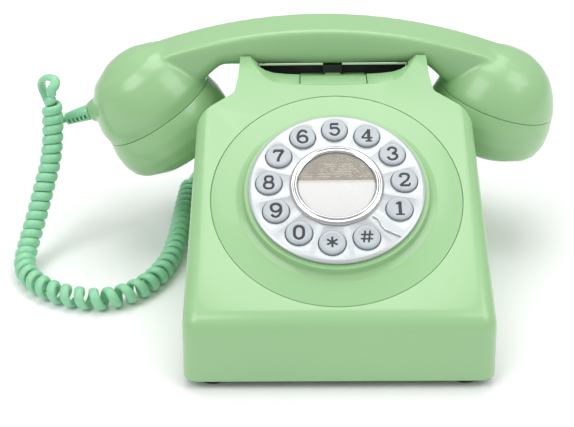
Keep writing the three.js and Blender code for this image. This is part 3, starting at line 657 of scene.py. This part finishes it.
loop = [(0, 1), (0.77, 0.72), (1, 0), (0.77, -0.72), (0, -1), (-0.77, -0.72), (-1, 0), (-0.77, 0.72), (0, 1)]
hook = [(1.9, 2.2), (1.1, 3.2), (-0.5, 3.4), (-1.9, 1.7), (-2.3, -0.8), (-1.6, -2.8), (0.1, -3.5),
        (1.8, -2.8), (2.2, -1.3), (1.3, 0.3), (-0.4, 0.6), (-2.1, -0.7)]
keyFigures = {  # the strokes of each figure: width, points
    "1": [(1.6, [(0.2, -3.3), (0.2, 3.4)]), (1.0, [(0.2, 3.2), (-0.8, 2.6), (-1.6, 2.3)]),
          (0.9, [(-1.8, -3.4), (2.1, -3.4)])],
    "2": [(1.2, [(-2.0, 1.8), (-1.6, 2.9), (0, 3.4), (1.7, 2.8), (2.0, 1.5), (1.2, 0), (-0.6, -1.6),
                 (-2.1, -3.1)]),
          (1.3, [(-2.1, -3.1), (2.2, -3.1)]), (0.9, [(2.2, -3.1), (2.4, -1.8)]),
          (1.6, [(-1.9, 1.5), (-1.8, 2.1)])],
    "3": [(1.2, [(-1.9, 2.2), (-1.3, 3.1), (0.1, 3.4), (1.6, 2.6), (1.5, 1.1), (-0.1, 0.2)]),
          (1.3, [(-0.1, 0.2), (1.8, -0.5), (2.1, -1.9), (1.0, -3.2), (-0.8, -3.4), (-2.1, -2.3)]),
          (1.6, [(-1.9, 1.8), (-1.8, 2.3)]), (1.6, [(-2.1, -1.8), (-2.0, -2.3)])],
    "4": [(0.9, [(0.9, 3.4), (-2.4, -1.3)]), (1.0, [(-2.5, -1.4), (2.6, -1.4)]),
          (1.6, [(0.9, 3.4), (0.9, -3.3)]), (0.9, [(-0.8, -3.4), (2.4, -3.4)])],
    "5": [(1.3, [(-1.7, 3.1), (1.9, 3.1)]), (0.9, [(-1.7, 3.1), (-1.8, 0.4)]),
          (1.6, [(-2.0, -1.9), (-1.9, -2.4)]),
          (1.3, [(-1.8, 0.4), (-0.4, 1.0), (1.3, 0.7), (2.1, -0.7), (1.7, -2.4), (0.3, -3.4),
                 (-1.9, -2.6)])],
    "6": [(1.3, hook)],
    "7": [(1.4, [(-2.2, 2.9), (2.2, 2.9)]), (0.9, [(-2.2, 2.9), (-2.3, 1.6)]),
          (1.4, [(2.1, 2.8), (0.8, 0.6), (-0.1, -1.6), (-0.3, -3.4)])],
    "8": [(1.2, [(x * 1.7, 1.85 + y * 1.6) for x, y in loop]),
          (1.3, [(x * 2.1, -1.6 + y * 1.85) for x, y in loop])],
    "9": [(1.3, [(-x, -y) for x, y in hook])],
    "0": [(1.4, [(x * 2.1, y * 3.4) for x, y in loop])],
    "star": [(1.0, [(0, -2.7), (0, 2.7)]), (1.0, [(-2.3, -1.35), (2.3, 1.35)]),
             (1.0, [(-2.3, 1.35), (2.3, -1.35)])],
    "hash": [(0.9, [(-1.5, -3), (-0.7, 3)]), (0.9, [(0.7, -3), (1.5, 3)]),
             (0.9, [(-2.8, -1.1), (2.6, -1.1)]), (0.9, [(-2.6, 1.1), (2.8, 1.1)])],
}


def buildFigure(name):
    # raised strokes that follow the dished top of the key
    centre = keyCentre(name)
    dish = dial["plateTop"] + dial["keyProud"] - 0.3
    gathered = bmesh.new()
    for width, points in keyFigures[name]:
        line = routeCurve([(x, y, 0) for x, y in points], 6)
        for p in line:
            p.z = dish + 0.076 * math.hypot(p.x, p.y)
        stroke = bpy.data.meshes.new("stroke")
        bm = sweep(line, width, 0.3, 10, [Vector((0, 0, 1))] * len(line))
        bm.to_mesh(stroke)
        bm.free()
        gathered.from_mesh(stroke)
        bpy.data.meshes.remove(stroke)
    shape = tempObject(gathered, dialPlace @ Matrix.Translation((centre.x, centre.y, 0)))
    return finishPiece("figure_" + name, shape, materials["ink"], f"button_{name}_key")


for name in keyNames:
    buildFigure(name)
buildCentre()
buildFingerStop()
print("dial ready")


# ---------- handset ----------

handset = {
    "depth": 25.0, "end": 98.0, "sag": 0.00195, "underside": 97.5,
    "ridge": 2.6, "rearRound": 3.0, "frontLow": 6.0, "rearLow": 3.0,
    "mouth": (-86.0, 70.2, 31.0), "ear": (93.0, 75.3, -16.8),  # x, z and tilt of the cups
    "tip": (-122.9, 68.0), "tipRun": (-0.954, -0.3), "reliefLength": 13.6,
    "mouthDome": [(31.4, 0), (31.9, 5.8), (30.7, 11.6), (28.5, 17.4), (25.6, 23.2), (20.9, 28.2),
                  (10.6, 33.2), (0, 35.6)],
    "earDome": [(31.7, 0), (30.3, 4.4), (28.4, 8.8), (25.9, 13.2), (22.6, 17.6), (17.8, 21.6),
                (11.3, 25.0), (0, 27.2)],
}
handsetLow, handsetHigh = boxOf("handset_body")
gripY, gripTop = (handsetLow.y + handsetHigh.y) / 2, handsetHigh.z


def cupPlace(key):
    x, z, tilt = handset[key]
    return Matrix.Translation((x, gripY, z)) @ Matrix.Rotation(math.radians(-tilt), 4, "Y")


def gripLine(points, x):
    for (x0, z0), (x1, z1) in zip(points, points[1:]):
        if x <= x1:
            return z0 + (z1 - z0) * max(0.0, x - x0) / (x1 - x0)
    return points[-1][1]


def gripLoft():
    h = handset
    under = [(-h["end"], 84), (-61.5, 87.5), (-57, 92), (-50.5, h["underside"]), (53, h["underside"]),
             (59.5, 92), (64, 87), (h["end"], 84)]
    bm = bmesh.new()
    rings = []
    count = 80
    half = h["depth"] / 2
    for i in range(count + 1):
        x = -h["end"] + 2 * h["end"] * i / count
        top = gripTop - h["sag"] * x * x
        low = min(gripLine(under, x), top - 8)
        corners = [(-half, low, h["frontLow"]), (half, low, h["rearLow"]), (half, top + 0.4, h["rearRound"]),
                   (-half, top - 1.7, h["ridge"])]
        rings.append([bm.verts.new((x, gripY + p[0], p[1])) for p in softened(corners, 6)])
    for first, second in zip(rings, rings[1:]):
        for k in range(len(first)):
            bm.faces.new((first[k - 1], first[k], second[k], second[k - 1]))
    bm.faces.new(rings[0])
    bm.faces.new(rings[-1])
    bmesh.ops.recalc_face_normals(bm, faces=bm.faces)
    return tempObject(bm)


def along(start, run):
    # a frame at start whose Z axis follows run
    return Matrix.Translation(start) @ Vector(run).to_track_quat("Z", "Y").to_matrix().to_4x4()


def buildHandset():
    h = handset
    shell = gripLoft()
    for key in ("mouth", "ear"):
        dome = [(0, -5), (31.3, -5), *h[key + "Dome"]]
        carve(shell, tempObject(spun(dome, 96), cupPlace(key)), "UNION")
    tip = (h["tip"][0], gripY, h["tip"][1])
    inward = (-h["tipRun"][0], 0, -h["tipRun"][1])
    boss = [(0, 0), (5.2, 0, 0.8), (6.6, 4), (9.6, 10), (13.4, 20), (13.4, 24), (0, 24)]
    carve(shell, tempObject(spun(softened(boss), 48), along(tip, inward)), "UNION")
    remesh = shell.modifiers.new("remesh", "REMESH")
    remesh.mode = "VOXEL"
    remesh.voxel_size = 1.1
    smooth = shell.modifiers.new("smooth", "SMOOTH")
    smooth.factor = 0.5
    smooth.iterations = 9
    settle(shell)
    for key in ("mouth", "ear"):
        carve(shell, tempObject(rod(38, -32, 0, 96), cupPlace(key)))
        hollow = [(0, -2), (28.6, -2), *[(max(0, r - 2.9), z * 0.9) for r, z in h[key + "Dome"]]]
        carve(shell, tempObject(spun(hollow, 64), cupPlace(key)))
    return finishPiece("handsetShell", shell, materials["casing"], "handset", ["handset_body"], smooth=40)


def buildCap(name, key, node):
    # a deep screw-on cap whose holed face stands in a groove behind the rim
    profile = [(29.0, -0.35), (31.5, -0.35, 0.5), (33.0, -8, 10), (33.0, -15, 8), (31.2, -20.8, 2),
               (29.4, -23, 0.6), (26.8, -22.6, 0.3), (26.2, -24.8, 0.8), (21.6, -27.6, 1.0),
               (19.4, -28, 0.8), (8, -25.4), (0, -25), (0, -23),
               (8, -23.2), (18.6, -25), (21, -24), (25, -20.6), (28.4, -16), (29.8, -8)]
    shape = tempObject(spun(softened(profile), 96, closed=True))
    holes = [(0, 0)] + [(9 * math.cos(fullTurn * k / 6), 9 * math.sin(fullTurn * k / 6)) for k in range(6)]
    for x, y in holes:
        carve(shape, tempObject(rod(1.5, -29, -18, 20), Matrix.Translation((x, y, 0))))
    shape.data.transform(cupPlace(key))
    return finishPiece(name, shape, materials["casing"], "handset", [node])


buildHandset()
buildCap("mouthCap", "mouth", "mouth_cap")
buildCap("earCap", "ear", "ear_cap")
print("handset ready")


# ---------- cord ----------

cord = {"wide": 5.0, "thick": 3.2, "coilRadius": 4.1, "blendIn": 1.5, "stepsPerTurn": 16,
        "pitch": [(0, 5.2), (85, 5.2), (98, 6.2), (112, 7.6), (150, 7.6), (175, 7.1), (200, 6.5),
                  (290, 6.3)]}  # along the route, at each length
topTail = [(-136.8, 54.5, 63.6), (-139.6, 55.9, 62.4), (-142.9, 59, 63.2), (-145.6, 62.2, 67.5),
           (-147.6, 62.6, 74), (-148.4, 60.6, 80), (-146.9, 57, 85.4), (-142.8, 53.3, 88.5),
           (-138.5, 50.2, 88.5), (-138.1, 47.7, 86.5), (-139.7, 46.4, 84.7), (-140.1, 46.1, 81.8)]
coilRoute = [(-140.1, 46.1, 81.5), (-140.5, 44, 70.3), (-141.1, 40.7, 59.9), (-142.8, 35.4, 47.7),
             (-146.2, 28.5, 36.1), (-149.6, 21, 24.5), (-152.8, 12.5, 14.5), (-154.3, 4, 8),
             (-152.5, -5, 6.2), (-146.5, -14.5, 6.1), (-137, -23.5, 6.1), (-124, -29.8, 6.1),
             (-109.6, -32.5, 6.1), (-96.5, -27.5, 6.1), (-85.5, -14.5, 6.1), (-79.2, 4, 6.1),
             (-77, 25, 6.1), (-76.6, 48, 6.1), (-76.2, 72, 6.1), (-75.4, 92, 6.1)]
baseTail = [(-75.4, 92.3, 6.1), (-74.9, 100.5, 5.2), (-72.4, 110.5, 3.2), (-65.5, 118.5, 2.2),
            (-56.5, 121.8, 3.2), (-47.5, 120.3, 7.2), (-41.2, 116, 11.3), (-38.7, 111.5, 13.1),
            (-38.5, 106.6, 13.3)]


def coilLine():
    # the strand winds round the route; its radius grows from nothing and falls back at the ends
    middle = routeCurve(coilRoute, 60)
    run = [0.0]
    for a, b in zip(middle, middle[1:]):
        run.append(run[-1] + (b - a).length)
    total = run[-1]
    line, outward = [], []
    travel, angle, i, side = 0.0, 0.0, 0, Vector((0, 1, 0))
    perTurn = cord["stepsPerTurn"]
    while travel < total:
        while i < len(run) - 2 and run[i + 1] < travel:
            i += 1
        share = (travel - run[i]) / (run[i + 1] - run[i])
        centre = middle[i].lerp(middle[i + 1], share)
        ahead = (middle[i + 1] - middle[i]).normalized()
        side = (side - ahead * side.dot(ahead)).normalized()
        radial = side * math.cos(angle) + ahead.cross(side) * math.sin(angle)
        pitch = gripLine(cord["pitch"], travel)
        ends = min(travel, total - travel) / (pitch * cord["blendIn"])
        grow = min(1.0, ends)
        line.append(centre + radial * (cord["coilRadius"] * grow * grow * (3 - 2 * grow)))
        outward.append(radial)
        angle += fullTurn / perTurn
        travel += pitch / perTurn
    return line, outward


def lineLength(points):
    return sum((b - a).length for a, b in zip(points, points[1:]))


def buildCord():
    first, last = routeCurve(topTail, 8), routeCurve(baseTail, 8)
    coil, outward = coilLine()
    line = first[:-1] + coil + last[1:]
    facing = [outward[0]] * (len(first) - 1) + outward + [outward[-1]] * (len(last) - 1)
    for i in range(len(first) - 2, -1, -1):
        ahead = (line[i + 1] - line[i]).normalized()
        facing[i] = (facing[i + 1] - ahead * facing[i + 1].dot(ahead)).normalized()
    for i in range(len(line) - len(last) + 1, len(line)):
        ahead = (line[i] - line[i - 1]).normalized()
        facing[i] = (facing[i - 1] - ahead * facing[i - 1].dot(ahead)).normalized()
    shape = tempObject(sweep(line, cord["wide"], cord["thick"], 12, facing))
    shape.data.transform(Matrix.Scale(mm, 4))
    shape.name = "curlyCord"
    for face in shape.data.polygons:
        face.use_smooth = True
    shape.data.materials.append(materials["cord"])
    path = [p * mm for p in line]
    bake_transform(shape)
    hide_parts("cord_tail_top", "cord_coil", "cord_tail_base")
    length = lineLength(path)
    print("cord length", round(length, 3), "turns", round(len(coil) / cord["stepsPerTurn"], 1))
    return shape, path, length


def buildRelief():
    # a tapered sleeve with two rows of short slots
    h = handset
    profile = [(0, 0), (4.2, 0, 0.4), (4.1, 3), (3.2, h["reliefLength"], 0.7), (0, h["reliefLength"])]
    shape = tempObject(spun(softened(profile), 40))
    slots = bmesh.new()
    for k in range(5):
        for side in (1, -1):
            z = 2.2 + 2.3 * k
            cut = bmesh.ops.create_cube(slots, size=1)["verts"]
            bmesh.ops.scale(slots, vec=(5.4, 2.4, 1.1), verts=cut)
            bmesh.ops.translate(slots, vec=(side * 4.3, -0.6, z), verts=cut)
    carve(shape, tempObject(slots))
    tip = (h["tip"][0], gripY, h["tip"][1])
    run = (h["tipRun"][0], 0, h["tipRun"][1])
    shape.data.transform(along(tip, run))
    return finishPiece("cordRelief", shape, materials["cord"], "handset", ["cord_strain_relief"], edge=0.15)


relief = buildRelief()
curlyCord, cordPath, cordLength = buildCord()
print("cord ready")


# ---------- cradle bar and feet ----------

def buildHookBar():
    b = hookBar
    profile = [(b["front"], b["foot"], 0.6), (b["rear"], b["foot"]), (b["rear"], 91.2, 0.8), (38, 91.2, 1),
               (37, 94.6, 0.6), (34.6, 94.8, 0.2), (34.3, 95.9, 0.5), (b["front"], 95.3, 0.8)]
    bar = tempObject(extruded(softened(profile, 4), -b["halfWidth"], b["halfWidth"], "yz"))
    half, front, rear = b["stem"]
    stem = block((-half, front, boxOf("hook_bar")[0].z), (half, rear, b["foot"] + 5))
    carve(bar, tempObject(stem), "UNION")
    bar.data.transform(caseFront)
    return finishPiece("cradleBar", bar, materials["casing"], "hook", ["hook_bar"], edge=0.5)


# painted shade: the dark tray and pad below stand in for the shadow in the gap under the grip
cradleShadeTray = {"rear": 51.8, "thickness": 1.4, "top": 94.8, "gap": 0.4}


def buildCradleShadeTray():
    # a dark tray behind the saddle and a dark pad on the bar that the grip presses: painted shade, dark
    # pieces standing in for the shadow in the gap under the grip
    c = cradleShadeTray
    reach, rear, low = cradle["channelHalf"] - c["gap"], c["rear"], cradle["channelFloor"] + 0.1
    front, back = cradle["channelFront"] + c["gap"], rear - c["thickness"]
    profile = [(front, low), (rear, low), (rear, c["top"], 0.5), (back, c["top"], 0.5),
               (back, low + 0.9, 0.4), (front, low + 0.9)]
    tray = tempObject(extruded(softened(profile, 3), -reach, reach, "yz"))
    half, stemFront, stemRear = hookBar["stem"]
    hole = block((-half - 1, stemFront - 1, 70), (half + 1, stemRear + 1, hookBar["foot"] + 2))
    carve(tray, tempObject(hole))
    tray.data.transform(caseFront)
    # the tray's dark colour is painted shade for the gap under the grip
    finishPiece("cradleShadeTray", tray, materials["dark"], "case")
    # the pad's dark colour is painted shade as well
    pad = block((-5, 45, 91), (5, hookBar["rear"], cradle["seatHeight"]), 0.6)
    finishPiece("gripShadePad", tempObject(pad, caseFront), materials["dark"], "hook")


def buildFeet():
    for node in ("foot_front_left", "foot_front_right", "foot_rear_left", "foot_rear_right"):
        low, high = boxOf(node)
        radius = (high.x - low.x) / 2
        foot = rod(radius, 0, high.z, 48, 0.9)
        place = Matrix.Translation(((low.x + high.x) / 2, (low.y + high.y) / 2, 0))
        name = "rubberFoot" + node[4:].title().replace("_", "")
        finishPiece(name, tempObject(foot, place), materials["rubber"], "case", [node])


buildHookBar()
buildCradleShadeTray()
buildFeet()


# ---------- hidden works keep their own shapes ----------

nodeFinish = {
    "sheet": ["base_plate"],
    "steel": ["case_screw_1", "case_screw_2", "case_screw_3", "case_screw_4", "hook_bracket", "ringer_frame",
              "gong_screw_left", "gong_screw_right", "clapper", "handset_weight"],
    "brass": ["gong_left", "gong_right"],
    "copper": ["ringer_coil"],
    "board": ["keypad_board", "main_board"],
    "rubber": ["keypad_mat"],
    "dark": ["keypad_tray", "receiver_capsule", "microphone_capsule", "hook_switch", "handset_socket",
             "line_socket", "ringer_switch", "ringer_switch_knob"],
    "clearPlug": ["cord_plug"],
}
for key, nodes in nodeFinish.items():
    for node in nodes:
        piece = frame["nodes"][node]
        piece.data.materials.clear()
        piece.data.materials.append(materials[key])

print("pieces ready")
